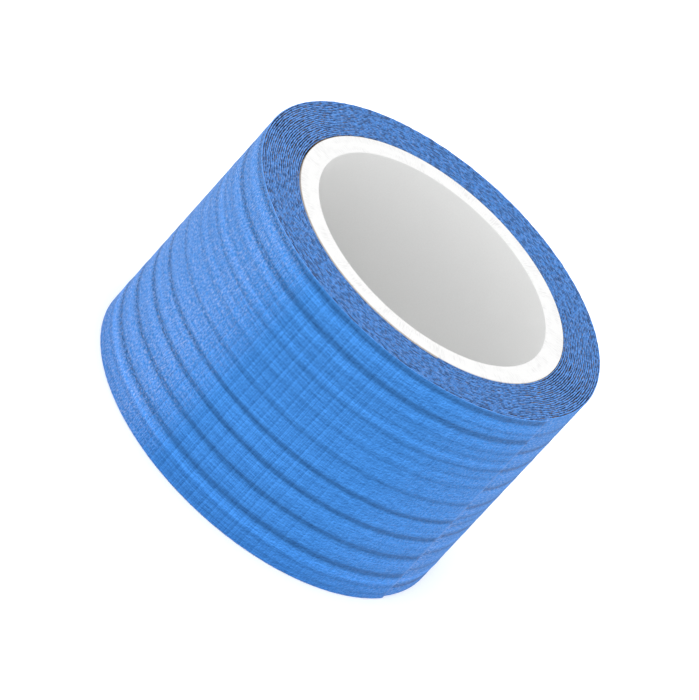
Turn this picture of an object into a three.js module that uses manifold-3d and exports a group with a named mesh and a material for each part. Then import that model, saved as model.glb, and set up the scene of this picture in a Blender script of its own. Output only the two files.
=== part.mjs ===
// Cohesive bandage roll: a crepe strip wound on a board tube.
// Millimetres, +Z up. The roll stands on one end, its axis is Z and the origin is that end's centre.
import * as THREE from 'three';
import { mergeVertices } from 'three/addons/utils/BufferGeometryUtils.js';
import Module from 'manifold-3d';

const { degToRad, smoothstep } = THREE.MathUtils;
const wasm = await Module();
wasm.setup();

const FULL_TURN = 360; // degrees

// Strip and winding
const STRIP_WIDTH = 50;
const TURN_PITCH = 0.4; // thickness of one wound turn
const OUTER_TURN_START = 37.85; // radius where the outer turn begins, just past the free end
const FREE_END_ANGLE = -24; // degrees from +X, where the free end is stuck down

// Core tube
const CORE_LENGTH = STRIP_WIDTH;
const CORE_OUTER_RADIUS = 29.6;
const CORE_WALL = 4.05;
const CORE_EDGE_EASE = 0.3;
const FIT_GAP = 0.3; // between the core and the first turn
const BORE_OVERRUN = 5; // how far the first turn's bore is cut past each end

// Facets round the axis
const SIDE_SEGMENTS = 72;
const CORE_SEGMENTS = 72;

// A crease drops over a short steep lip and climbs back over its rise, higher up the side.
const CREASE_LIP = 0.25;
const CREASE_FADE = 40; // degrees over which a crease dies out on the back

// Creases of the outer turn, from the top down. Angles are degrees past the free end, up to a full turn.
const CREASES = [
  { height: 49.0, depth: 0.3, rise: 0.9, from: 130, to: 360 },
  { height: 43.9, depth: 0.3, rise: 1.8, from: 85, to: 360 },
  { height: 40.5, depth: 0.3, rise: 1.2, from: 0, to: 150 },
  { height: 36.0, depth: 0.16, rise: 1.2, from: 100, to: 360 },
  { height: 35.4, depth: 0.3, rise: 1.2, from: 0, to: 95 },
  { height: 30.2, depth: 0.3, rise: 1.2, from: 0, to: 130 },
  { height: 26.6, depth: 0.16, rise: 1.0, from: 110, to: 360 },
  { height: 25.1, depth: 0.3, rise: 1.0, from: 0, to: 115 },
  { height: 21.7, depth: 0.3, rise: 1.3, from: 65, to: 360 },
  { height: 17.2, depth: 0.3, rise: 1.0, from: 0, to: 140 },
  { height: 16.7, depth: 0.3, rise: 1.2, from: 105, to: 360 },
  { height: 11.5, depth: 0.3, rise: 1.4, from: 75, to: 360 },
  { height: 6.4, depth: 0.3, rise: 1.8, from: 120, to: 360 },
  { height: 3.0, depth: 0.3, rise: 1.2, from: 0, to: 125 },
];

const CLOTH_BLUE = 0x4791eb;
const BOARD_WHITE = 0xf7f7f5;
const clothMaterial = new THREE.MeshStandardMaterial({ color: CLOTH_BLUE, roughness: 0.9, metalness: 0 });
const boardMaterial = new THREE.MeshStandardMaterial({ color: BOARD_WHITE, roughness: 0.7, metalness: 0 });

// Share of its depth that a crease has at an angle: 1 along its run, 0 where it has died out.
function creaseStrength({ from, to }, angle) {
  const begun = from > 0 ? smoothstep(angle, from, from + CREASE_FADE) : 1;
  const left = to < FULL_TURN ? 1 - smoothstep(angle, to - CREASE_FADE, to) : 1;
  return begun * left;
}

// Share of a crease's depth at a height: steep below its bottom, sloping above it.
function creaseProfile({ height: bottom, rise }, height) {
  const above = height - bottom;
  const share = above < 0 ? 1 + above / CREASE_LIP : 1 - above / rise;
  return Math.max(share, 0);
}

// How far the outer turn is drawn in at a height and an angle past the free end.
function insetAt(height, angle) {
  const insets = CREASES.map((c) => c.depth * creaseProfile(c, height) * creaseStrength(c, angle));
  return Math.max(...insets);
}

// Heights where the side bends: both ends, and each crease's lip, bottom and top.
function sideLevels() {
  const bends = CREASES.flatMap((c) => [c.height - CREASE_LIP, c.height, c.height + c.rise]);
  return [0, ...bends, STRIP_WIDTH].sort((low, high) => low - high);
}

// Outline of the outer turn: it grows by one turn's thickness and steps down at the free end.
function outerTurnOutline() {
  const points = [];
  for (let i = 0; i <= SIDE_SEGMENTS; i += 1) {
    const turn = i / SIDE_SEGMENTS;
    const radius = OUTER_TURN_START + TURN_PITCH * turn;
    const angle = degToRad(FREE_END_ANGLE + FULL_TURN * turn);
    points.push(new THREE.Vector2(radius * Math.cos(angle), radius * Math.sin(angle)));
  }
  return new THREE.Shape(points);
}

// The outline drawn up the strip's width, one ring of points for each bend of the side.
function creasedRoll() {
  const levels = sideLevels();
  const steps = levels.length - 1;
  const roll = new THREE.ExtrudeGeometry(outerTurnOutline(), { depth: steps, steps, bevelEnabled: false });
  const place = roll.getAttribute('position');
  for (let i = 0; i < place.count; i += 1) {
    const radius = Math.hypot(place.getX(i), place.getY(i));
    const angle = (FULL_TURN * (radius - OUTER_TURN_START)) / TURN_PITCH;
    const height = levels[Math.round(place.getZ(i))];
    const keep = 1 - insetAt(height, angle) / radius;
    place.setXYZ(i, place.getX(i) * keep, place.getY(i) * keep, height);
  }
  return roll;
}

// The round space inside the first turn, which runs past both ends of the roll.
function stripBore() {
  const radius = CORE_OUTER_RADIUS + FIT_GAP;
  const length = STRIP_WIDTH + 2 * BORE_OVERRUN;
  const bore = new THREE.CylinderGeometry(radius, radius, length, CORE_SEGMENTS);
  bore.rotateX(Math.PI / 2);
  bore.translate(0, 0, STRIP_WIDTH / 2);
  return bore;
}

function toSolid(geometry) {
  geometry.deleteAttribute('normal');
  geometry.deleteAttribute('uv');
  const merged = mergeVertices(geometry);
  const vertProperties = merged.getAttribute('position').array;
  const triVerts = new Uint32Array(merged.getIndex().array);
  return new wasm.Manifold(new wasm.Mesh({ numProp: 3, vertProperties, triVerts }));
}

function toGeometry(solid) {
  const { vertProperties, triVerts } = solid.getMesh();
  const geometry = new THREE.BufferGeometry();
  geometry.setAttribute('position', new THREE.BufferAttribute(vertProperties, 3));
  geometry.setIndex(new THREE.BufferAttribute(triVerts, 1));
  geometry.computeVertexNormals();
  return geometry;
}

function woundStrip() {
  const solid = toSolid(creasedRoll()).subtract(toSolid(stripBore()));
  const mesh = new THREE.Mesh(toGeometry(solid), clothMaterial);
  mesh.name = 'wound_strip';
  return mesh;
}

// A tube with its four rims eased, turned from a profile that closes on itself.
function coreTube() {
  const inner = CORE_OUTER_RADIUS - CORE_WALL;
  const outer = CORE_OUTER_RADIUS;
  const ease = CORE_EDGE_EASE;
  const profile = [
    [inner, ease],
    [inner + ease, 0],
    [outer - ease, 0],
    [outer, ease],
    [outer, CORE_LENGTH - ease],
    [outer - ease, CORE_LENGTH],
    [inner + ease, CORE_LENGTH],
    [inner, CORE_LENGTH - ease],
    [inner, ease],
  ].map(([radius, height]) => new THREE.Vector2(radius, height));
  const tube = new THREE.LatheGeometry(profile, CORE_SEGMENTS);
  tube.rotateX(Math.PI / 2);
  const mesh = new THREE.Mesh(tube, boardMaterial);
  mesh.name = 'core_tube';
  return mesh;
}

const roll = new THREE.Group();
roll.add(woundStrip(), coreTube());

export default roll;
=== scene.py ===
import math
from collections import namedtuple

import bmesh
import bpy
import numpy as np
from mathutils import Matrix, Vector, noise


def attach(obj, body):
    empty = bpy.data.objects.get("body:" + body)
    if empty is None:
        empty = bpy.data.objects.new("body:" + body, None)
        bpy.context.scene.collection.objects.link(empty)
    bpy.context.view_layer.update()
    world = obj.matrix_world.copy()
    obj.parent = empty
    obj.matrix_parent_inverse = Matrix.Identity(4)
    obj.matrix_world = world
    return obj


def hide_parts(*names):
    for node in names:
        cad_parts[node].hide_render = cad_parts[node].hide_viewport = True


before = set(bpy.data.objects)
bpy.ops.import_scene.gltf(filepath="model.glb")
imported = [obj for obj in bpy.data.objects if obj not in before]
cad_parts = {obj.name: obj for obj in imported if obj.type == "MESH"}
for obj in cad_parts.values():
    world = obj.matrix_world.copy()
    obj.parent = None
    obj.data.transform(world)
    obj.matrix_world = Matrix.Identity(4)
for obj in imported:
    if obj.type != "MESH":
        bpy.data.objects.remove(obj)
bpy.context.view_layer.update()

# Cohesive bandage roll: a crepe strip wound on a board tube, standing on one end. Metres, +Z up.
MM = 0.001

# Strip, winding and core, as the CAD solids have them or a little closer to the photograph
STRIP_WIDTH = 50 * MM
OUTER_RADIUS = 38.35 * MM  # at the free end
FREE_END_ANGLE = math.radians(-25)
INNER_END_ANGLE = math.radians(-65)
WHOLE_TURNS = 21
CORE_OUTER_RADIUS = 29.6 * MM
CORE_INNER_RADIUS = 25.55 * MM
CORE_EDGE_EASE = 0.2 * MM
CORE_EASE_POINTS = 5
CORE_SEGMENTS = 240

# Cloth of the strip
CLOTH_THICKNESS = 0.18 * MM
CORE_GAP = 0.03 * MM  # between the core and the first turn
EDGE_EASE = 0.1 * MM  # how far the rounded edges stand past the faces
FRAY = 0.12 * MM  # most that an edge is drawn back
FRAY_SIZE = 1.8 * MM
SWELL = 0.14 * MM  # most that a covered edge is fluffed up on one side
SWELL_SIZE = 2 * MM
SWELL_REACH = 0.8 * MM  # how far in from the edge the cloth is fluffed up
SWELL_LEVELS = (0.3, 1.0)  # noise between which it fluffs up
WOBBLE = 0.14 * MM  # how far a turn strays from an even spiral, in all
WOBBLE_SIZE = 3 * MM
EVEN_TURNS = 2.2  # turns at the outside that don't stray
TIGHT_TURNS = 1.0  # turns at the core that don't stray or fluff up
TIGHT_FADE = 0.1  # turns over which they begin to
COVER_FADE = 0.01  # turns at the free end between bare and covered cloth
WINDING_SEED = 41.0
FRAY_SEED_STEP = 7.3
SWELL_SEED_STEP = 11.9
BACK_SEED_STEP = 3.7
NOISE_SPAN = (0.25, 0.75)  # of a noise texture, stretched to run from 0 to 1

# The spiral that these sizes give
TURNS = WHOLE_TURNS + (FREE_END_ANGLE - INNER_END_ANGLE) / math.tau
FIRST_RADIUS = CORE_OUTER_RADIUS + CORE_GAP + CLOTH_THICKNESS / 2
LAST_RADIUS = OUTER_RADIUS - CLOTH_THICKNESS / 2
TURN_PITCH = (LAST_RADIUS - FIRST_RADIUS) / TURNS

# The last turn is meshed finely, and its start lies hidden under the free end
FINE_TURNS = 1.06
FINE_COLUMNS = 440
FINE_FACE_ROWS = 96
FINE_BACK_ROWS = 4
FINE_EDGE_ROWS = 3
COARSE_COLUMNS_PER_TURN = 430
COARSE_EDGE_ROWS = 2
JOIN_TURNS = 0.004  # bridged between the two meshes

# Creases of the outer turn, from the top down, in mm, with their share of the full strength.
# Angles are degrees past the free end.
Crease = namedtuple("Crease", "height share rise begins ends")
CREASES = (
    Crease(48.9, 1.0, 1.2, 185, 360),
    Crease(46.1, 0.2, 0.6, 120, 360),
    Crease(45.0, 0.4, 0.9, 0, 95),
    Crease(43.75, 1.0, 1.2, 85, 360),
    Crease(40.55, 0.3, 0.9, 95, 360),
    Crease(40.2, 0.6, 1.2, 0, 150),
    Crease(38.7, 0.35, 0.6, 120, 360),
    Crease(35.95, 0.5, 0.9, 100, 360),
    Crease(35.2, 0.6, 1.2, 0, 95),
    Crease(33.8, 0.25, 0.5, 90, 360),
    Crease(31.1, 0.3, 0.7, 110, 360),
    Crease(30.0, 0.6, 1.2, 0, 130),
    Crease(26.5, 0.5, 0.8, 110, 360),
    Crease(24.9, 0.6, 1.1, 0, 115),
    Crease(22.0, 0.35, 0.9, 0, 90),
    Crease(21.5, 1.0, 1.0, 65, 360),
    Crease(20.0, 0.3, 0.7, 0, 100),
    Crease(16.9, 0.6, 1.1, 0, 140),
    Crease(16.55, 1.0, 1.1, 105, 360),
    Crease(12.0, 0.4, 1.1, 0, 110),
    Crease(11.4, 1.0, 1.1, 75, 360),
    Crease(7.4, 0.35, 0.9, 0, 120),
    Crease(6.4, 1.0, 1.1, 120, 360),
    Crease(3.3, 0.3, 0.7, 100, 360),
    Crease(2.7, 0.6, 1.1, 0, 125),
    Crease(1.3, 0.3, 0.6, 90, 360),
)
CREASE_DEPTH = 0.14  # mm, of a full crease
CREASE_LIP = 0.55  # mm, the side below a crease
CREASE_FADE = 40  # degrees
CREST_HEIGHT = 0.04  # mm, how far a full crest is raised

# Raised crests between the creases, in mm, with their share of the full height; their colour also gets a
# painted highlight
Crest = namedtuple("Crest", "height share spread begins ends")
CRESTS = (
    Crest(50.0, 1.2, 0.2, 0, 360),
    Crest(47.1, 1.0, 0.7, 90, 360),
    Crest(42.3, 1.0, 0.7, 85, 360),
    Crest(38.7, 0.7, 0.6, 0, 120),
    Crest(37.3, 1.1, 0.6, 110, 360),
    Crest(33.5, 0.8, 0.6, 0, 120),
    Crest(32.7, 0.7, 0.6, 100, 360),
    Crest(28.5, 0.8, 0.6, 0, 120),
    Crest(28.0, 0.6, 0.6, 95, 360),
    Crest(23.4, 0.8, 0.6, 0, 360),
    Crest(20.6, 0.7, 0.5, 100, 360),
    Crest(18.5, 0.7, 0.5, 0, 360),
    Crest(15.0, 0.7, 0.8, 90, 360),
    Crest(13.7, 0.9, 0.6, 0, 110),
    Crest(9.7, 1.3, 0.7, 95, 360),
    Crest(9.0, 0.5, 0.6, 0, 115),
    Crest(4.7, 1.8, 0.7, 0, 360),
)
ROW_DRAW = 2.5  # how much closer the rows stand at a crease
ROW_REACH = 0.7 * MM
ROW_SAMPLES = 4001

# Crepe relief of the outer turn
CREPE_DEPTH = 0.02 * MM
CREPE_ALONG = 1.6 * MM
CREPE_ACROSS = 0.9 * MM
CREPE_FRACTAL = (1.0, 2.0, 2)  # dimension, lacunarity and octaves

# Colours, linear
CLOTH_DARK = (0.0195, 0.107, 0.32, 1)
CLOTH_LIGHT = (0.053, 0.243, 0.665, 1)
# pale fuzz, also used as a painted sheen
CLOTH_FUZZ_AND_SHEEN = (0.33, 0.4, 0.62, 1)
# painted shade in the creases by the free end
CREASE_SHADE_BROWN = (0.075, 0.105, 0.2, 1)
# painted shade between the turns, navy and dark brown, and the gum's tan
GAP_SHADE_NAVY = (0.022, 0.045, 0.12, 1)
GUM_TAN = (0.42, 0.33, 0.25, 1)
GAP_SHADE_DARK = (0.19, 0.135, 0.09, 1)
BOARD_END = (0.7, 0.7, 0.698, 1)
BOARD_BORE = (0.7, 0.702, 0.698, 1)
BOARD_SKIN = (0.63, 0.57, 0.5, 1)
FLOOR_PALE = (0.95, 0.95, 0.95, 1)
WHITE = (1, 1, 1, 1)

# Constants of the shaders, by socket
CLOTH_FINISH = {
    "Roughness": 0.9,
    "Specular IOR Level": 0.08,
    "Sheen Weight": 0.035,
    "Sheen Roughness": 0.5,
}
BOARD_FINISH = {"Roughness": 0.7, "Specular IOR Level": 0.2}
FLOOR_FINISH = {
    "Base Color": FLOOR_PALE,
    "Roughness": 0.9,
    "Emission Color": WHITE,
    "Emission Strength": 0.12,
}
BUMP_HEIGHT = 0.08 * MM
BUMP_STRENGTH = 0.7

# Painted light on the cloth: how strongly the creases get painted shade, and the crests and edges
# painted highlights; and how pale the edges' fibres are
CREASE_PAINTED_SHADE = 0.37
CREASE_FLAT = 0.68  # share of a full crease that is as dark as it gets
START_BROWN = 0.5  # of the creases past the free end
END_BROWN = 0.12  # of the creases before it
CREST_PAINTED_HIGHLIGHT = 0.17
EDGE_PAINTED_HIGHLIGHT = 0.36
EDGE_PALE = 0.2

# Marks of the cloth: sizes along and across the strip, and the weight of each.
# Levels are the two values between which a mark fades in.
Marks = namedtuple("Marks", "along across weight", defaults=(1.0,))
WEFTS = Marks(0.19 * MM, 30 * MM, 0.22)
WARPS = Marks(4 * MM, 0.2 * MM, 0.36)
WARP_BANDS = Marks(30 * MM, 0.8 * MM, 0.22)
DRIFT = Marks(12 * MM, 60 * MM, 2.0)  # how far, in radians, the threads' waves wander
WRINKLES = Marks(0.7 * MM, 0.42 * MM, 0.55)
BLOTCHES = Marks(2.4 * MM, 0.8 * MM, 0.3)
# Fuzz flecks: fuzz, and a painted sheen near the roll's outline
FUZZ = Marks(0.2 * MM, 0.62 * MM, 0.18)
FUZZ_LEVELS = (0.62, 0.84)
FUZZ_COLUMNS = Marks(0.45 * MM, 25 * MM, 0.3)
COLUMN_LEVELS = (0.3, 0.8)
FLECK_LEVELS = (0.35, 0.95)
FLECK_LEAST = 0.42  # weight of the flecks between the columns
FUZZ_SMOOTH = 0.6  # share of the wrinkles that the fuzz hides
FUZZY_SIDE_PAINTED_LIGHT = 0.08  # painted light: how much lighter the cloth is on the fuzzy side of the roll
SIDE_FUZZ = Marks(0.75 * MM, 0.32 * MM)  # as seen at a slant, near the outline
SIDE_LEVELS = (0.86, 0.96)
BREAKS = Marks(0.8 * MM, 0.3 * MM, 1.6)  # in the creases where the cloth is fuzzy
BREAK_MIDDLE = 0.6
GRIT = Marks(0.45 * MM, 0.22 * MM, 0.26)
WEAVE_REPEAT = 2.5 * MM  # three threads
WEAVE_TONE = 0.5  # of the cloth, between dark and light
WEFT_WAVES = ((1, 0.065), (2, 0.065), (3, 0.1), (6, 0.08))  # waves in a repeat, and their height
WARP_WAVES = ((1, 0.02), (3, 0.05))
EMBOSS = 0.14 * MM  # how far the painted highlight on a wrinkle's lit side is from the painted shade on its dark side
WEAVE_PEAK = math.radians(-99)  # clearest weave, in front and again behind
WEAVE_LEVELS = (0.4, 0.8)
WEAVE_LEAST = 0.4  # share of the weave that shows between its clearest places
WEAVE_FLAT = 0.25  # weight of the wrinkles that the clearest weave lacks
FUZZ_PEAK = math.radians(-160)
SIDE_PEAK = math.radians(-180)
END_REACH = 0.1  # turns before the free end where it starts to fuzz
END_FUZZ = 0.4  # share of the full fuzz there
START_REACH = 0.2  # turns past the free end where the fuzz and brown creases die out
START_FUZZ = 0.7
END_LINE = 0.003  # turns of light fibres and a painted highlight at the cut end
END_FIBRES_AND_HIGHLIGHT = 0.25

# Painted shade between the turns, on the covered cloth that shows in the gaps: dark navy dashes at the
# edges, a tan fringe of gum below them, then dark brown painted shade further in
SHADE_DASHES = Marks(1.5 * MM, 1.3, 0.75)  # across in turns
DASH_LEVELS = (0.47, 0.67)
SHADE_EVEN = 0.08  # weight of the painted shade between the dashes
SHADED_TURNS = 5  # turns at the outside whose dashes are darker
SHADE_OUTSIDE = 0.25  # weight added to those
EDGE_CLEAN = 0.8  # share of the dashes that the very edge lacks
GUM_TINTS = Marks(1.6 * MM, 0.6 * MM)
TINT_LEVELS = (0.35, 0.6)
SHADE_BELOW = (0.1 * MM, 0.4 * MM)  # from the edge, where each of these sets in
TAN_BELOW = (0.15 * MM, 0.3 * MM)
DEEP_SHADE_BELOW = (0.3 * MM, 0.6 * MM)

# Marks of the board: sizes along the radius, round the axis and up, or the same in all directions
STREAK_SIZE = (2.2 * MM, 0.25 * MM, MM)
STREAK_LEVELS = (0.45, 0.65)
STREAK_DARK = 0.13
PATCH_SIZE = (2 * MM, 4 * MM, MM)  # where streaks show
PATCH_LEVELS = (0.45, 0.6)
BOARD_GRAIN = (0.25 * MM, 0.25 * MM, 0.25 * MM)
GRAIN_DEPTH = 0.035
BORE_RIM = (0.02 * MM, 0.15 * MM)  # past the bore, between its colour and the end's
SKIN_RIM = (0.12 * MM, 0.02 * MM)  # short of the outside, between the end's colour and the skin's

# Stage, in metres and watts
FLOOR_HALF = 4.0
SKY_STRENGTH = 1.3
KEY_PLACE = (-0.25, -1.0, 1.1)
KEY_SIZE = 1.2
KEY_POWER = 4

# Camera of the photograph
VIEW_ELEVATION = math.radians(28.166)
VIEW_LEAN = math.radians(42.426)  # the roll's axis leans this far to the right of upright
VIEW_DISTANCE = 1.4615
VIEW_LENS = 413.3
VIEW_SENSOR = 36  # mm
VIEW_CLIP = 50  # metres
VIEW_SHIFT = (-0.0019, -0.0019)


# Node helpers
def feed(tree, socket, value):
    if isinstance(value, bpy.types.NodeSocket):
        tree.links.new(value, socket)
    else:
        socket.default_value = value


def add(tree, kind, inputs=(), output=0, **settings):
    """A node with these settings and inputs, by name or number; gives one of its outputs."""
    made = tree.nodes.new(kind)
    for name, value in settings.items():
        setattr(made, name, value)
    for key, value in dict(inputs).items():
        feed(tree, made.inputs[key], value)
    return made.outputs[output]


def calc(tree, operation, *values):
    return add(tree, "ShaderNodeMath", enumerate(values), operation=operation)


def share(tree, value, low, high):
    """0 up to low, 1 from high, and straight between."""
    return add(tree, "ShaderNodeMapRange", {0: value, 1: low, 2: high})


def new_tree(name, inputs):
    """A Geometry Nodes tree with these named inputs, and the sockets that give them."""
    tree = bpy.data.node_groups.new(name, "GeometryNodeTree")
    for label, kind in inputs.items():
        tree.interface.new_socket(label, in_out="INPUT", socket_type="NodeSocket" + kind)
    tree.interface.new_socket("Geometry", in_out="OUTPUT", socket_type="NodeSocketGeometry")
    return tree, tree.nodes.new("NodeGroupInput").outputs


def end_tree(tree, geometry, material):
    """Every tree ends in realized instances with their material."""
    real = add(tree, "GeometryNodeRealizeInstances", {"Geometry": geometry})
    smooth = add(tree, "GeometryNodeSetShadeSmooth", {"Geometry": real})
    painted = add(tree, "GeometryNodeSetMaterial", {"Geometry": smooth, "Material": material})
    tree.links.new(painted, tree.nodes.new("NodeGroupOutput").inputs[0])


def grown(name, tree, sizes):
    """A new object with the plain mesh that a tree makes from these sizes."""
    piece = bpy.data.objects.new(name, bpy.data.meshes.new(name))
    bpy.context.scene.collection.objects.link(piece)
    modifier = piece.modifiers.new(tree.name, "NODES")
    modifier.node_group = tree
    for socket in tree.interface.items_tree:
        if socket.in_out == "INPUT":
            modifier[socket.identifier] = sizes[socket.name]
    depsgraph = bpy.context.evaluated_depsgraph_get()
    mesh = bpy.data.meshes.new_from_object(
        piece.evaluated_get(depsgraph), preserve_all_data_layers=True, depsgraph=depsgraph
    )
    piece.modifiers.clear()
    piece.data = mesh
    mesh.name = name
    return piece


# The winding: a flat closed section drawn along a spiral
def store(tree, geometry, name, value, **settings):
    inputs = {"Geometry": geometry, "Name": name, "Value": value}
    return add(tree, "GeometryNodeStoreNamedAttribute", inputs, **settings)


def recall(tree, name):
    return add(tree, "GeometryNodeInputNamedAttribute", {"Name": name}, data_type="FLOAT")


def length_at(tree, given, turn):
    """Length of strip wound up to a turn."""
    half_growth = calc(tree, "MULTIPLY", calc(tree, "MULTIPLY", given["Turn Pitch"], 0.5), turn)
    mean_radius = calc(tree, "ADD", given["First Radius"], half_growth)
    return calc(tree, "MULTIPLY", calc(tree, "MULTIPLY", mean_radius, math.tau), turn)


def even_noise(tree, along, size, seed):
    """Noise from 0 to 1 along the strip."""
    place = calc(tree, "ADD", calc(tree, "DIVIDE", along, size), seed)
    spots = {"W": place, "Scale": 1.0, "Detail": 2.0}
    return share(tree, add(tree, "ShaderNodeTexNoise", spots, noise_dimensions="1D"), *NOISE_SPAN)


def past_core(tree, given, turn):
    """0 on the turns held tight on the core, 1 a little further out."""
    further = calc(tree, "ADD", given["Tight Turns"], TIGHT_FADE)
    return share(tree, turn, given["Tight Turns"], further)


def winding_path(tree, given):
    """The spiral, with the turn and the length of strip kept at each point."""
    line = add(tree, "GeometryNodeCurvePrimitiveLine", {"Start": (0, 0, 0), "End": (1, 0, 0)})
    points = add(tree, "GeometryNodeResampleCurve", {"Curve": line, "Count": given["Columns"]})
    along = add(tree, "GeometryNodeSplineParameter")
    turn = calc(tree, "MULTIPLY_ADD", along, given["Turns"], given["First Turn"])
    length = length_at(tree, given, turn)
    counted = store(tree, store(tree, points, "turn", turn), "along", length)
    stray = calc(tree, "SUBTRACT", even_noise(tree, length, given["Wobble Size"], given["Seed"]), 0.5)
    loose = share(tree, turn, given["Even Turn"], calc(tree, "SUBTRACT", given["Even Turn"], 1.0))
    loose = calc(tree, "MULTIPLY", loose, past_core(tree, given, turn))
    stray = calc(tree, "MULTIPLY", stray, loose)
    even = calc(tree, "MULTIPLY_ADD", turn, given["Turn Pitch"], given["First Radius"])
    radius = calc(tree, "MULTIPLY_ADD", stray, given["Wobble"], even)
    angle = calc(tree, "MULTIPLY_ADD", turn, math.tau, given["Inner End Angle"])
    x = calc(tree, "MULTIPLY", radius, calc(tree, "COSINE", angle))
    y = calc(tree, "MULTIPLY", radius, calc(tree, "SINE", angle))
    place = add(tree, "ShaderNodeCombineXYZ", {0: x, 1: y})
    spiral = add(tree, "GeometryNodeSetPosition", {"Geometry": counted, "Position": place})
    return add(tree, "GeometryNodeSetCurveNormal", {"Curve": spiral}, mode="Z_UP")


def strip_section(tree, given):
    """The strip's section: up the face, over the high edge, down the back and under the low edge."""
    index = add(tree, "GeometryNodeInputIndex")
    top = given["Face Rows"]
    behind = calc(tree, "ADD", top, given["Edge Rows"])
    bottom = calc(tree, "ADD", behind, given["Back Rows"])
    count = calc(tree, "ADD", bottom, given["Edge Rows"])
    rise = share(tree, index, 0.0, top)
    over = share(tree, index, top, behind)
    fall = share(tree, index, behind, bottom)
    under = share(tree, index, bottom, count)
    back = calc(tree, "SUBTRACT", over, under)
    bulge_high = calc(tree, "SINE", calc(tree, "MULTIPLY", over, math.pi))
    bulge_low = calc(tree, "SINE", calc(tree, "MULTIPLY", under, math.pi))
    edge = calc(tree, "SUBTRACT", bulge_high, bulge_low)
    flat = calc(tree, "SUBTRACT", given["Strip Width"], calc(tree, "MULTIPLY", given["Edge Ease"], 2.0))
    on_face = calc(tree, "MULTIPLY_ADD", calc(tree, "SUBTRACT", rise, fall), flat, given["Edge Ease"])
    height = calc(tree, "MULTIPLY_ADD", edge, given["Edge Ease"], on_face)
    out = calc(tree, "MULTIPLY", calc(tree, "SUBTRACT", 0.5, back), given["Thickness"])
    place = add(tree, "ShaderNodeCombineXYZ", {0: out, 1: calc(tree, "MULTIPLY", height, -1.0)})
    points = add(tree, "GeometryNodeMeshLine", {"Count": count})
    for name, value in (("up", height), ("back", back), ("edge", edge)):
        points = store(tree, points, name, value)
    ring = add(tree, "GeometryNodeSetPosition", {"Geometry": points, "Position": place})
    curve = add(tree, "GeometryNodeMeshToCurve", {"Mesh": ring})
    return add(tree, "GeometryNodeSetSplineCyclic", {"Geometry": curve, "Cyclic": True})


def side_seed(tree, given, step):
    """A seed that differs between the two edges of the strip."""
    side = calc(tree, "DIVIDE", recall(tree, "up"), given["Strip Width"])
    return calc(tree, "MULTIPLY", calc(tree, "ADD", calc(tree, "ROUND", side), given["Seed"]), step)


def frayed(tree, given, cloth):
    """The cloth with its two edges drawn back unevenly."""
    seed = side_seed(tree, given, FRAY_SEED_STEP)
    worn = even_noise(tree, recall(tree, "along"), given["Fray Size"], seed)
    back = calc(tree, "MULTIPLY", calc(tree, "MULTIPLY", recall(tree, "edge"), worn), given["Fray"])
    step = add(tree, "ShaderNodeCombineXYZ", {2: calc(tree, "MULTIPLY", back, -1.0)})
    return add(tree, "GeometryNodeSetPosition", {"Geometry": cloth, "Offset": step})


def fluffed(tree, given, cloth):
    """The cloth with its covered edges fluffed up unevenly, so that turns touch in places."""
    up = recall(tree, "up")
    back = recall(tree, "back")
    from_edge = calc(tree, "MINIMUM", up, calc(tree, "SUBTRACT", given["Strip Width"], up))
    near = share(tree, from_edge, given["Swell Reach"], 0.0)
    turn = recall(tree, "turn")
    under = calc(tree, "SUBTRACT", given["Covered Turn"], COVER_FADE)
    inner = share(tree, turn, given["Covered Turn"], under)
    covered = calc(tree, "MULTIPLY", near, calc(tree, "MAXIMUM", inner, back))
    covered = calc(tree, "MULTIPLY", covered, past_core(tree, given, turn))
    seed = calc(tree, "MULTIPLY_ADD", back, BACK_SEED_STEP, side_seed(tree, given, SWELL_SEED_STEP))
    fluff = even_noise(tree, recall(tree, "along"), given["Swell Size"], seed)
    swell = calc(tree, "MULTIPLY", share(tree, fluff, *SWELL_LEVELS), given["Swell"])
    outwards = calc(tree, "MULTIPLY_ADD", back, -2.0, 1.0)
    amount = calc(tree, "MULTIPLY", calc(tree, "MULTIPLY", swell, outwards), covered)
    flat = {0: add(tree, "GeometryNodeInputPosition"), 1: (1, 1, 0)}
    level = add(tree, "ShaderNodeVectorMath", flat, operation="MULTIPLY")
    radial = add(tree, "ShaderNodeVectorMath", {0: level}, operation="NORMALIZE")
    step = add(tree, "ShaderNodeVectorMath", {0: radial, "Scale": amount}, operation="SCALE")
    return add(tree, "GeometryNodeSetPosition", {"Geometry": cloth, "Offset": step})


def winding_tree():
    inputs = {
        "First Turn": "Float", "Turns": "Float", "Columns": "Int", "First Radius": "Float",
        "Turn Pitch": "Float", "Inner End Angle": "Float", "Strip Width": "Float",
        "Thickness": "Float", "Edge Ease": "Float", "Face Rows": "Int", "Back Rows": "Int",
        "Edge Rows": "Int", "Wobble": "Float", "Wobble Size": "Float", "Even Turn": "Float",
        "Tight Turns": "Float", "Fray": "Float", "Fray Size": "Float", "Swell": "Float",
        "Swell Size": "Float", "Swell Reach": "Float", "Covered Turn": "Float", "Seed": "Float",
        "Cloth": "Material",
    }
    tree, given = new_tree("strip winding", inputs)
    path = winding_path(tree, given)
    section = strip_section(tree, given)
    drawn = {"Curve": path, "Profile Curve": section, "Fill Caps": True}
    cloth = add(tree, "GeometryNodeCurveToMesh", drawn)
    end_tree(tree, fluffed(tree, given, frayed(tree, given, cloth)), given["Cloth"])
    return tree


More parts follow.
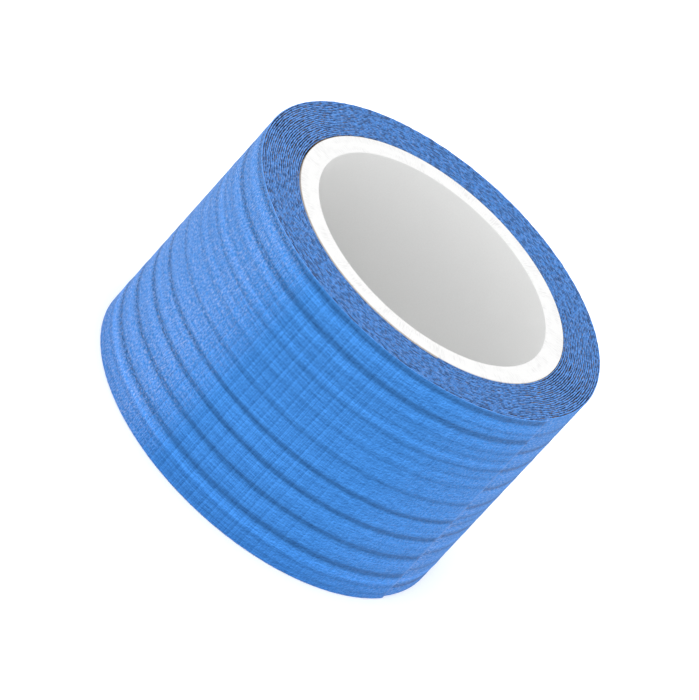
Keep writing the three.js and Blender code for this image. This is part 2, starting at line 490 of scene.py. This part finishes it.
def winding(name, tree, cloth, first_turn, turns, columns, face_rows, back_rows, edge_rows):
    sizes = {
        "First Turn": first_turn, "Turns": turns, "Columns": columns, "First Radius": FIRST_RADIUS,
        "Turn Pitch": TURN_PITCH, "Inner End Angle": INNER_END_ANGLE, "Strip Width": STRIP_WIDTH,
        "Thickness": CLOTH_THICKNESS, "Edge Ease": EDGE_EASE, "Face Rows": face_rows,
        "Back Rows": back_rows, "Edge Rows": edge_rows, "Wobble": WOBBLE, "Wobble Size": WOBBLE_SIZE,
        "Even Turn": TURNS - EVEN_TURNS, "Tight Turns": TIGHT_TURNS, "Fray": FRAY,
        "Fray Size": FRAY_SIZE, "Swell": SWELL, "Swell Size": SWELL_SIZE, "Swell Reach": SWELL_REACH,
        "Covered Turn": TURNS - 1, "Seed": WINDING_SEED, "Cloth": cloth,
    }
    return grown(name, tree, sizes)


# Creases and crepe of the outer turn
def values(mesh, name):
    found = np.empty(len(mesh.vertices), np.float32)
    mesh.attributes[name].data.foreach_get("value", found)
    return found


def points(mesh):
    found = np.empty(len(mesh.vertices) * 3, np.float32)
    mesh.vertices.foreach_get("co", found)
    return found.reshape(-1, 3)


def smooth_step(value, low, high):
    t = np.clip((value - low) / (high - low), 0, 1)
    return t * t * (3 - 2 * t)


def crease_strength(crease, angle):
    """1 along a crease's run, 0 where it has died out on the back of the roll."""
    begun = smooth_step(angle, crease.begins, crease.begins + CREASE_FADE) if crease.begins > 0 else 1
    left = 1 - smooth_step(angle, crease.ends - CREASE_FADE, crease.ends) if crease.ends < 360 else 1
    return begun * left


def crease_profile(crease, height):
    """Share of a crease's depth at a height: steeper below its bottom than above it."""
    above = height - crease.height
    below = 1 - smooth_step(-above, 0, CREASE_LIP)
    return np.where(above < 0, below, 1 - smooth_step(above, 0, crease.rise))


def crease_share(height, angle):
    """Share of a full crease, at heights in mm and degrees past the free end."""
    creased = np.zeros_like(height)
    for crease in CREASES:
        made = crease.share * crease_profile(crease, height) * crease_strength(crease, angle)
        creased = np.maximum(creased, made)
    return creased


def crest_height(height, angle):
    """Share of the full height that the crests have, at heights in mm and degrees past the free end."""
    raised = np.zeros_like(height)
    for crest in CRESTS:
        bump = np.exp(-(((height - crest.height) / crest.spread) ** 2))
        raised = np.maximum(raised, crest.share * bump * crease_strength(crest, angle))
    return raised


def drawn_rows(up):
    """Even heights moved so that rows stand closer at the creases."""
    fine = np.linspace(0, STRIP_WIDTH, ROW_SAMPLES)
    density = np.ones_like(fine)
    for crease in CREASES:
        density += ROW_DRAW * np.exp(-(((fine - crease.height * MM) / ROW_REACH) ** 2))
    steps = (density[1:] + density[:-1]) / 2
    counted = np.concatenate([[0], np.cumsum(steps)])
    return np.interp(up / STRIP_WIDTH, counted / counted[-1], fine)


def crepe(along, up):
    """Shallow relief of the crepe, from -1 to 1."""
    return np.array([
        noise.fractal(Vector((a / CREPE_ALONG, u / CREPE_ACROSS, 0)), *CREPE_FRACTAL)
        for a, u in zip(along, up)
    ])


def keep_values(mesh, name, found):
    made = mesh.attributes.get(name) or mesh.attributes.new(name, "FLOAT", "POINT")
    made.data.foreach_set("value", np.asarray(found, np.float32))


def crease_turn(mesh):
    """Draws the outer turn in along its creases, and raises its crepe."""
    place = points(mesh)
    angle = np.maximum((values(mesh, "turn") - (TURNS - 1)) * 360, 0)
    back = values(mesh, "back")
    even = values(mesh, "up")
    up = drawn_rows(even)
    crease = crease_share(up / MM, angle)
    crest = crest_height(up / MM, angle)
    inset = (CREASE_DEPTH * crease**2 - CREST_HEIGHT * crest) * MM * (1 - back)
    relief = CREPE_DEPTH * crepe(values(mesh, "along"), up) * (1 - back)
    radius = np.hypot(place[:, 0], place[:, 1])
    place[:, :2] *= ((radius - inset + relief) / radius)[:, None]
    place[:, 2] += up - even
    mesh.vertices.foreach_set("co", place.ravel())
    keep_values(mesh, "up", up)
    # kept for the painted shade in the creases and the painted highlight on the crests
    keep_values(mesh, "crease", crease)
    keep_values(mesh, "crest", crest)


def caps_at(bm, turn_layer, turn):
    """The end faces of a winding at a turn."""
    caps = [face for face in bm.faces if len(face.verts) > 4]
    return [cap for cap in caps if abs(cap.verts[0][turn_layer] - turn) < JOIN_TURNS / 4]


def join_windings(coarse, fine, join_turn):
    """Makes the fine winding one closed strip with the coarse one, their facing ends bridged."""
    bm = bmesh.new()
    bm.from_mesh(coarse.data)
    bm.from_mesh(fine.data)
    turn = bm.verts.layers.float["turn"]
    ends = caps_at(bm, turn, join_turn) + caps_at(bm, turn, join_turn + JOIN_TURNS)
    rims = [edge for face in ends for edge in face.edges]
    bmesh.ops.delete(bm, geom=ends, context="FACES_ONLY")
    bmesh.ops.bridge_loops(bm, edges=rims)
    bmesh.ops.recalc_face_normals(bm, faces=bm.faces)
    for face in bm.faces:
        face.smooth = True
    bm.to_mesh(fine.data)
    bm.free()
    bpy.data.objects.remove(coarse)


def wound_strip(cloth):
    tree = winding_tree()
    join_turn = TURNS - FINE_TURNS - JOIN_TURNS
    coarse_columns = round(join_turn * COARSE_COLUMNS_PER_TURN)
    coarse = winding("inner_turns", tree, cloth, 0.0, join_turn, coarse_columns, 1, 1, COARSE_EDGE_ROWS)
    strip = winding(
        "wound_strip_cloth", tree, cloth, TURNS - FINE_TURNS, FINE_TURNS, FINE_COLUMNS,
        FINE_FACE_ROWS, FINE_BACK_ROWS, FINE_EDGE_ROWS,
    )
    for name in ("crease", "crest"):
        keep_values(coarse.data, name, np.zeros(len(coarse.data.vertices)))
    crease_turn(strip.data)
    join_windings(coarse, strip, join_turn)
    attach(strip, "root")
    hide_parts("wound_strip")


# The core: a section of board turned round the axis
def core_tree():
    inputs = {
        "Inner Radius": "Float", "Outer Radius": "Float", "Length": "Float", "Edge Ease": "Float",
        "Segments": "Int", "Board": "Material",
    }
    tree, given = new_tree("core tube", inputs)
    wall = calc(tree, "SUBTRACT", given["Outer Radius"], given["Inner Radius"])
    middle = calc(tree, "MULTIPLY", calc(tree, "ADD", given["Outer Radius"], given["Inner Radius"]), 0.5)
    ring = {"Resolution": given["Segments"], "Radius": middle}
    circle = add(tree, "GeometryNodeCurvePrimitiveCircle", ring)
    path = add(tree, "GeometryNodeSetCurveNormal", {"Curve": circle}, mode="Z_UP")
    sides = {"Width": wall, "Height": given["Length"]}
    section = add(tree, "GeometryNodeCurvePrimitiveQuadrilateral", sides)
    corners = {"Curve": section, "Count": CORE_EASE_POINTS, "Radius": given["Edge Ease"]}
    eased = add(tree, "GeometryNodeFilletCurve", corners, mode="POLY")
    tube = add(tree, "GeometryNodeCurveToMesh", {"Curve": path, "Profile Curve": eased})
    half = calc(tree, "MULTIPLY", given["Length"], 0.5)
    lift = add(tree, "ShaderNodeCombineXYZ", {2: half})
    standing = add(tree, "GeometryNodeTransform", {"Geometry": tube, "Translation": lift})
    end_tree(tree, standing, given["Board"])
    return tree


def core_tube(board):
    sizes = {
        "Inner Radius": CORE_INNER_RADIUS, "Outer Radius": CORE_OUTER_RADIUS, "Length": STRIP_WIDTH,
        "Edge Ease": CORE_EDGE_EASE, "Segments": CORE_SEGMENTS, "Board": board,
    }
    tube = grown("core_tube_board", core_tree(), sizes)
    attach(tube, "root")
    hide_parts("core_tube")


# Finishes
def new_material(name, finish):
    """A material with these constants on its shader's own sockets."""
    material = bpy.data.materials.new(name)
    material.use_nodes = True
    shader = material.node_tree.nodes["Principled BSDF"]
    for socket, value in finish.items():
        shader.inputs[socket].default_value = value
    return material, material.node_tree, shader


def blend(tree, factor, first, second):
    """One colour turned into another by a factor from 0 to 1."""
    return add(tree, "ShaderNodeMix", {0: factor, 6: first, 7: second}, output=2, data_type="RGBA")


def stored(tree, name):
    return add(tree, "ShaderNodeAttribute", output="Fac", attribute_name=name)


def grain(tree, along, up, marks, detail=1.0):
    """Noise whose spots have the sizes of these marks, stretched to run from 0 to 1."""
    x = calc(tree, "DIVIDE", along, marks.along)
    y = calc(tree, "DIVIDE", up, marks.across)
    place = add(tree, "ShaderNodeCombineXYZ", {0: x, 1: y})
    spots = {"Vector": place, "Scale": 1.0, "Detail": detail}
    return share(tree, add(tree, "ShaderNodeTexNoise", spots, noise_dimensions="2D"), *NOISE_SPAN)


def arc_at(tree, place, radius):
    """Distance round the axis at a radius."""
    x, y = (add(tree, "ShaderNodeSeparateXYZ", {0: place}, output=i) for i in (0, 1))
    return calc(tree, "MULTIPLY", calc(tree, "ARCTAN2", y, x), radius)


def total(tree, base, *weighted):
    """A base with weighted values added, each counted from its middle."""
    for value, weight in weighted:
        middle = calc(tree, "SUBTRACT", value, 0.5)
        base = calc(tree, "MULTIPLY_ADD", middle, weight, base)
    return base


def around(tree, turn, peak, times):
    """From -1 to 1 round the roll, highest at the peak angle."""
    start = times * (INNER_END_ANGLE - peak)
    return calc(tree, "COSINE", calc(tree, "MULTIPLY_ADD", turn, times * math.tau, start))


def past_end(tree, turn):
    """1 just past the free end, on the turn that comes out from under it, falling to 0."""
    return share(tree, turn, TURNS - 1 + START_REACH, TURNS - 1)


def before_end(tree, turn):
    """1 at the free end, falling to 0 back along the strip."""
    return share(tree, turn, TURNS - END_REACH, TURNS)


def waves(tree, place, drift, heights):
    """Waves that repeat along a direction, each with its count in a repeat and its height."""
    phase = calc(tree, "MULTIPLY_ADD", place, math.tau / WEAVE_REPEAT, drift)
    height = 0.0
    for count, size in heights:
        wave = calc(tree, "SINE", calc(tree, "MULTIPLY_ADD", phase, count, count))
        height = calc(tree, "MULTIPLY_ADD", wave, size, height)
    return height


def weave_tone(tree, along, up):
    """Threads across and along the strip at an even pitch, and finer uneven ones, about 0."""
    drift = calc(tree, "MULTIPLY", grain(tree, along, up, DRIFT), DRIFT.weight)
    wefts = waves(tree, along, drift, WEFT_WAVES)
    even = calc(tree, "ADD", wefts, waves(tree, up, drift, WARP_WAVES))
    uneven = (WEFTS, WARPS, WARP_BANDS)
    return total(tree, even, *((grain(tree, along, up, marks), marks.weight) for marks in uneven))


def wrinkles_with_painted_shade(tree, along, up):
    """Wrinkles with a painted highlight on one side and painted shade on the other, about a half."""
    further = (calc(tree, "ADD", along, EMBOSS), calc(tree, "SUBTRACT", up, EMBOSS))
    dark = calc(tree, "SUBTRACT", grain(tree, *further, WRINKLES, 2.0), 0.5)
    return calc(tree, "SUBTRACT", grain(tree, along, up, WRINKLES, 2.0), dark)


def gum_and_gap_shade(tree, along, up, turn):
    """How much painted shade and gum show on the covered cloth between the turns, and their colour."""
    from_edge = calc(tree, "MINIMUM", up, calc(tree, "SUBTRACT", STRIP_WIDTH, up))
    inner = share(tree, turn, TURNS - 1, TURNS - 1 - COVER_FADE)
    covered = calc(tree, "MAXIMUM", inner, stored(tree, "back"))
    arc = arc_at(tree, add(tree, "ShaderNodeTexCoord", output="Object"), OUTER_RADIUS)
    # dashes of painted shade in the gaps between the turns
    dashes = share(tree, grain(tree, arc, turn, SHADE_DASHES), *DASH_LEVELS)
    on_edge = calc(tree, "ABSOLUTE", stored(tree, "edge"))
    outside = share(tree, turn, TURNS - SHADED_TURNS, TURNS - 1)
    strength = calc(tree, "MULTIPLY_ADD", dashes, SHADE_DASHES.weight, SHADE_EVEN)
    darker = calc(tree, "MULTIPLY", dashes, SHADE_OUTSIDE)
    strength = calc(tree, "MULTIPLY_ADD", outside, darker, strength)
    thin = calc(tree, "MULTIPLY", strength, calc(tree, "MULTIPLY_ADD", on_edge, -EDGE_CLEAN, 1.0))
    below = share(tree, from_edge, *SHADE_BELOW)
    amount = calc(tree, "MULTIPLY", covered, calc(tree, "MAXIMUM", thin, below))
    tinted = share(tree, grain(tree, along, up, GUM_TINTS), *TINT_LEVELS)
    fringe = calc(tree, "MULTIPLY", tinted, share(tree, from_edge, *TAN_BELOW))
    gum_and_shade = blend(tree, fringe, GAP_SHADE_NAVY, GUM_TAN)
    # dark brown painted shade further in from the edge
    return amount, blend(tree, share(tree, from_edge, *DEEP_SHADE_BELOW), gum_and_shade, GAP_SHADE_DARK)


def fuzzy(tree, turn):
    """Where the cloth is fuzzy and has a painted sheen: most on one side of the roll, and some at the
    free end.
    """
    here = share(tree, around(tree, turn, FUZZ_PEAK, 1), *FUZZ_LEVELS)
    here = calc(tree, "MAXIMUM", here, calc(tree, "MULTIPLY", before_end(tree, turn), END_FUZZ))
    return calc(tree, "MAXIMUM", here, calc(tree, "MULTIPLY", past_end(tree, turn), START_FUZZ))


def fuzz_spots(tree, along, up, turn):
    """Spots of fuzz and painted sheen, wider near the roll's outline on the fuzzy side and past the free
    end.
    """
    beside = share(tree, around(tree, turn, SIDE_PEAK, 1), *SIDE_LEVELS)
    beside = calc(tree, "MAXIMUM", beside, past_end(tree, turn))
    fine = grain(tree, along, up, FUZZ)
    step = calc(tree, "SUBTRACT", grain(tree, along, up, SIDE_FUZZ), fine)
    return calc(tree, "MULTIPLY_ADD", step, beside, fine)


def broken(tree, along, up, here):
    """Share of a crease's painted shade that shows, about 1, and uneven where the cloth is fuzzy."""
    uneven = calc(tree, "SUBTRACT", grain(tree, along, up, BREAKS), BREAK_MIDDLE)
    return calc(tree, "MULTIPLY_ADD", calc(tree, "MULTIPLY", uneven, BREAKS.weight), here, 1.0)


def flecks(tree, along, up, turn, fuzz, here):
    """Light flecks of fuzz and painted sheen in columns across the strip where it is fuzzy, and light
    fibres with a painted highlight at the cut end.
    """
    columns = share(tree, grain(tree, along, up, FUZZ_COLUMNS), *COLUMN_LEVELS)
    dense = calc(tree, "MULTIPLY_ADD", columns, FUZZ_COLUMNS.weight, FLECK_LEAST)
    spots = calc(tree, "MULTIPLY", share(tree, fuzz, *FLECK_LEVELS), dense)
    off_edge = calc(tree, "SUBTRACT", 1.0, calc(tree, "ABSOLUTE", stored(tree, "edge")))
    # light fibres and a painted highlight along the cut end
    cut_end = share(tree, turn, TURNS - END_LINE, TURNS - END_LINE / 3)
    spots = calc(tree, "MULTIPLY", calc(tree, "MULTIPLY", spots, here), off_edge)
    return calc(tree, "MAXIMUM", spots, calc(tree, "MULTIPLY", cut_end, END_FIBRES_AND_HIGHLIGHT))


def painted_shade_and_highlights(tree, blue, turn, shown):
    """Cloth with painted shade, darker in the creases and browner in those by the free end, and with
    painted highlights, lighter on crests and edges.
    """
    crease = calc(tree, "MULTIPLY", share(tree, stored(tree, "crease"), 0.0, CREASE_FLAT), shown)
    edge = calc(tree, "ABSOLUTE", stored(tree, "edge"))
    # painted highlight on the rounded edges
    shade = calc(tree, "MULTIPLY_ADD", edge, EDGE_PAINTED_HIGHLIGHT, 1.0)
    # painted highlight on the crests
    shade = calc(tree, "MULTIPLY_ADD", stored(tree, "crest"), CREST_PAINTED_HIGHLIGHT, shade)
    # painted shade: darker in the creases
    shade = calc(tree, "MULTIPLY_ADD", crease, -CREASE_PAINTED_SHADE, shade)
    lit = add(tree, "ShaderNodeVectorMath", {0: blue, "Scale": shade}, operation="SCALE")
    lit = blend(tree, calc(tree, "MULTIPLY", edge, EDGE_PALE), lit, CLOTH_FUZZ_AND_SHEEN)
    # painted shade: browner in the creases by the free end
    brown = calc(tree, "MULTIPLY", past_end(tree, turn), START_BROWN)
    brown = calc(tree, "MULTIPLY_ADD", before_end(tree, turn), END_BROWN, brown)
    return blend(tree, calc(tree, "MULTIPLY", crease, brown), lit, CREASE_SHADE_BROWN)


def crepe_cloth():
    """Blue crepe: threads, wrinkles and fuzz, darker in the creases and lighter on the crests."""
    material, tree, shader = new_material("blue crepe cloth", CLOTH_FINISH)
    along = stored(tree, "along")
    up = stored(tree, "up")
    turn = stored(tree, "turn")
    woven = share(tree, around(tree, turn, WEAVE_PEAK, 2), *WEAVE_LEVELS)
    weave = weave_tone(tree, along, up)
    # wrinkles with painted highlight and painted shade, also used as relief in the bump
    wrinkles = wrinkles_with_painted_shade(tree, along, up)
    fuzz = fuzz_spots(tree, along, up, turn)
    here = fuzzy(tree, turn)
    smooth = calc(tree, "MULTIPLY_ADD", here, -FUZZ_SMOOTH, 1.0)
    clear = calc(tree, "MULTIPLY_ADD", woven, 1 - WEAVE_LEAST, WEAVE_LEAST)
    ruffled = calc(tree, "MULTIPLY_ADD", woven, -WEAVE_FLAT, WRINKLES.weight)
    ruffled = calc(tree, "MULTIPLY", ruffled, smooth)
    loose = calc(tree, "MULTIPLY_ADD", woven, -BLOTCHES.weight, BLOTCHES.weight)
    loose = calc(tree, "MULTIPLY", loose, smooth)
    blotches = (grain(tree, along, up, BLOTCHES), loose)
    grit = (grain(tree, along, up, GRIT), GRIT.weight)
    # painted light: the cloth is lighter on the fuzzy side of the roll
    middle = calc(tree, "MULTIPLY_ADD", here, FUZZY_SIDE_PAINTED_LIGHT, WEAVE_TONE)
    tone = calc(tree, "MULTIPLY_ADD", weave, clear, middle)
    tone = total(tree, tone, (wrinkles, ruffled), (fuzz, FUZZ.weight), blotches, grit)
    blue = blend(tree, tone, CLOTH_DARK, CLOTH_LIGHT)
    # flecks of fuzz and painted sheen
    blue = blend(tree, flecks(tree, along, up, turn, fuzz, here), blue, CLOTH_FUZZ_AND_SHEEN)
    amount, gum_and_shade = gum_and_gap_shade(tree, along, up, turn)
    lit = painted_shade_and_highlights(tree, blue, turn, broken(tree, along, up, here))
    feed(tree, shader.inputs["Base Color"], blend(tree, amount, lit, gum_and_shade))
    relief = total(tree, weave, (wrinkles, smooth))
    bump = {"Height": relief, "Distance": BUMP_HEIGHT, "Strength": BUMP_STRENGTH}
    feed(tree, shader.inputs["Normal"], add(tree, "ShaderNodeBump", bump))
    return material


def board_marks(tree, place, size, low, high):
    """Noise of a given size in three directions, from 0 to 1 between two levels."""
    spots = add(tree, "ShaderNodeVectorMath", {0: place, 1: size}, operation="DIVIDE")
    rough = add(tree, "ShaderNodeTexNoise", {"Vector": spots, "Scale": 1.0, "Detail": 1.0})
    return share(tree, rough, low, high)


def white_board():
    """White board: faint saw streaks on its ends, a fine grain in its bore and a tan outer skin."""
    material, tree, shader = new_material("white core board", BOARD_FINISH)
    place = add(tree, "ShaderNodeTexCoord", output="Object")
    level = add(tree, "ShaderNodeVectorMath", {0: place, 1: (1, 1, 0)}, operation="MULTIPLY")
    radius = add(tree, "ShaderNodeVectorMath", {0: level}, output="Value", operation="LENGTH")
    cut = share(tree, radius, *(CORE_INNER_RADIUS + step for step in BORE_RIM))
    skin = share(tree, radius, *(CORE_OUTER_RADIUS - step for step in SKIN_RIM))
    arc = arc_at(tree, place, CORE_OUTER_RADIUS)
    polar = add(tree, "ShaderNodeCombineXYZ", {0: radius, 1: arc})
    streaks = board_marks(tree, polar, STREAK_SIZE, *STREAK_LEVELS)
    patches = board_marks(tree, polar, PATCH_SIZE, *PATCH_LEVELS)
    sawn = calc(tree, "MULTIPLY", calc(tree, "MULTIPLY", streaks, patches), cut)
    grains = board_marks(tree, place, BOARD_GRAIN, *NOISE_SPAN)
    shade = calc(tree, "MULTIPLY_ADD", sawn, -STREAK_DARK, 1.0)
    shade = total(tree, shade, (grains, GRAIN_DEPTH))
    board = blend(tree, skin, blend(tree, cut, BOARD_BORE, BOARD_END), BOARD_SKIN)
    tone = add(tree, "ShaderNodeVectorMath", {0: board, "Scale": shade}, operation="SCALE")
    feed(tree, shader.inputs["Base Color"], tone)
    return material


# Stage
def pale_floor():
    mesh = bpy.data.meshes.new("floor")
    corners = [(x * FLOOR_HALF, y * FLOOR_HALF, 0) for x, y in ((-1, -1), (1, -1), (1, 1), (-1, 1))]
    mesh.from_pydata(corners, [], [(0, 1, 2, 3)])
    mesh.materials.append(new_material("pale floor", FLOOR_FINISH)[0])
    floor = bpy.data.objects.new("floor", mesh)
    bpy.context.scene.collection.objects.link(floor)


def aimed(place, target):
    """The matrix of an object at a place whose -Z looks at the target."""
    back = (place - target).normalized()
    return Matrix.Translation(place) @ back.to_track_quat("Z", "Y").to_matrix().to_4x4()


def soft_light(name, place, size, power):
    light = bpy.data.lights.new(name, "AREA")
    light.shape = "DISK"
    light.size = size
    light.energy = power
    lamp = bpy.data.objects.new(name, light)
    bpy.context.scene.collection.objects.link(lamp)
    lamp.matrix_world = aimed(Vector(place), Vector((0, 0, STRIP_WIDTH / 2)))


def studio():
    scene = bpy.context.scene
    scene.view_settings.view_transform = "Standard"
    scene.view_settings.look = "None"
    world = bpy.data.worlds.new("studio")
    world.use_nodes = True
    sky = world.node_tree.nodes["Background"]
    sky.inputs["Color"].default_value = WHITE
    sky.inputs["Strength"].default_value = SKY_STRENGTH
    scene.world = world
    soft_light("key", KEY_PLACE, KEY_SIZE, KEY_POWER)


def photo_camera():
    lens = bpy.data.cameras.new("photo camera")
    lens.lens = VIEW_LENS
    lens.sensor_width = VIEW_SENSOR
    lens.clip_end = VIEW_CLIP
    lens.shift_x, lens.shift_y = VIEW_SHIFT
    camera = bpy.data.objects.new("photo camera", lens)
    bpy.context.scene.collection.objects.link(camera)
    back = Vector((0, -math.cos(VIEW_ELEVATION), math.sin(VIEW_ELEVATION)))
    level = Vector((1, 0, 0))
    upright = back.cross(level)
    right = level * math.cos(VIEW_LEAN) + upright * math.sin(VIEW_LEAN)
    up = upright * math.cos(VIEW_LEAN) - level * math.sin(VIEW_LEAN)
    place = Vector((0, 0, STRIP_WIDTH / 2)) + back * VIEW_DISTANCE
    turned = Matrix((right, up, back)).transposed().to_4x4()
    camera.matrix_world = Matrix.Translation(place) @ turned
    bpy.context.scene.camera = camera


photo_camera()
core_tube(white_board())
wound_strip(crepe_cloth())
pale_floor()
studio()
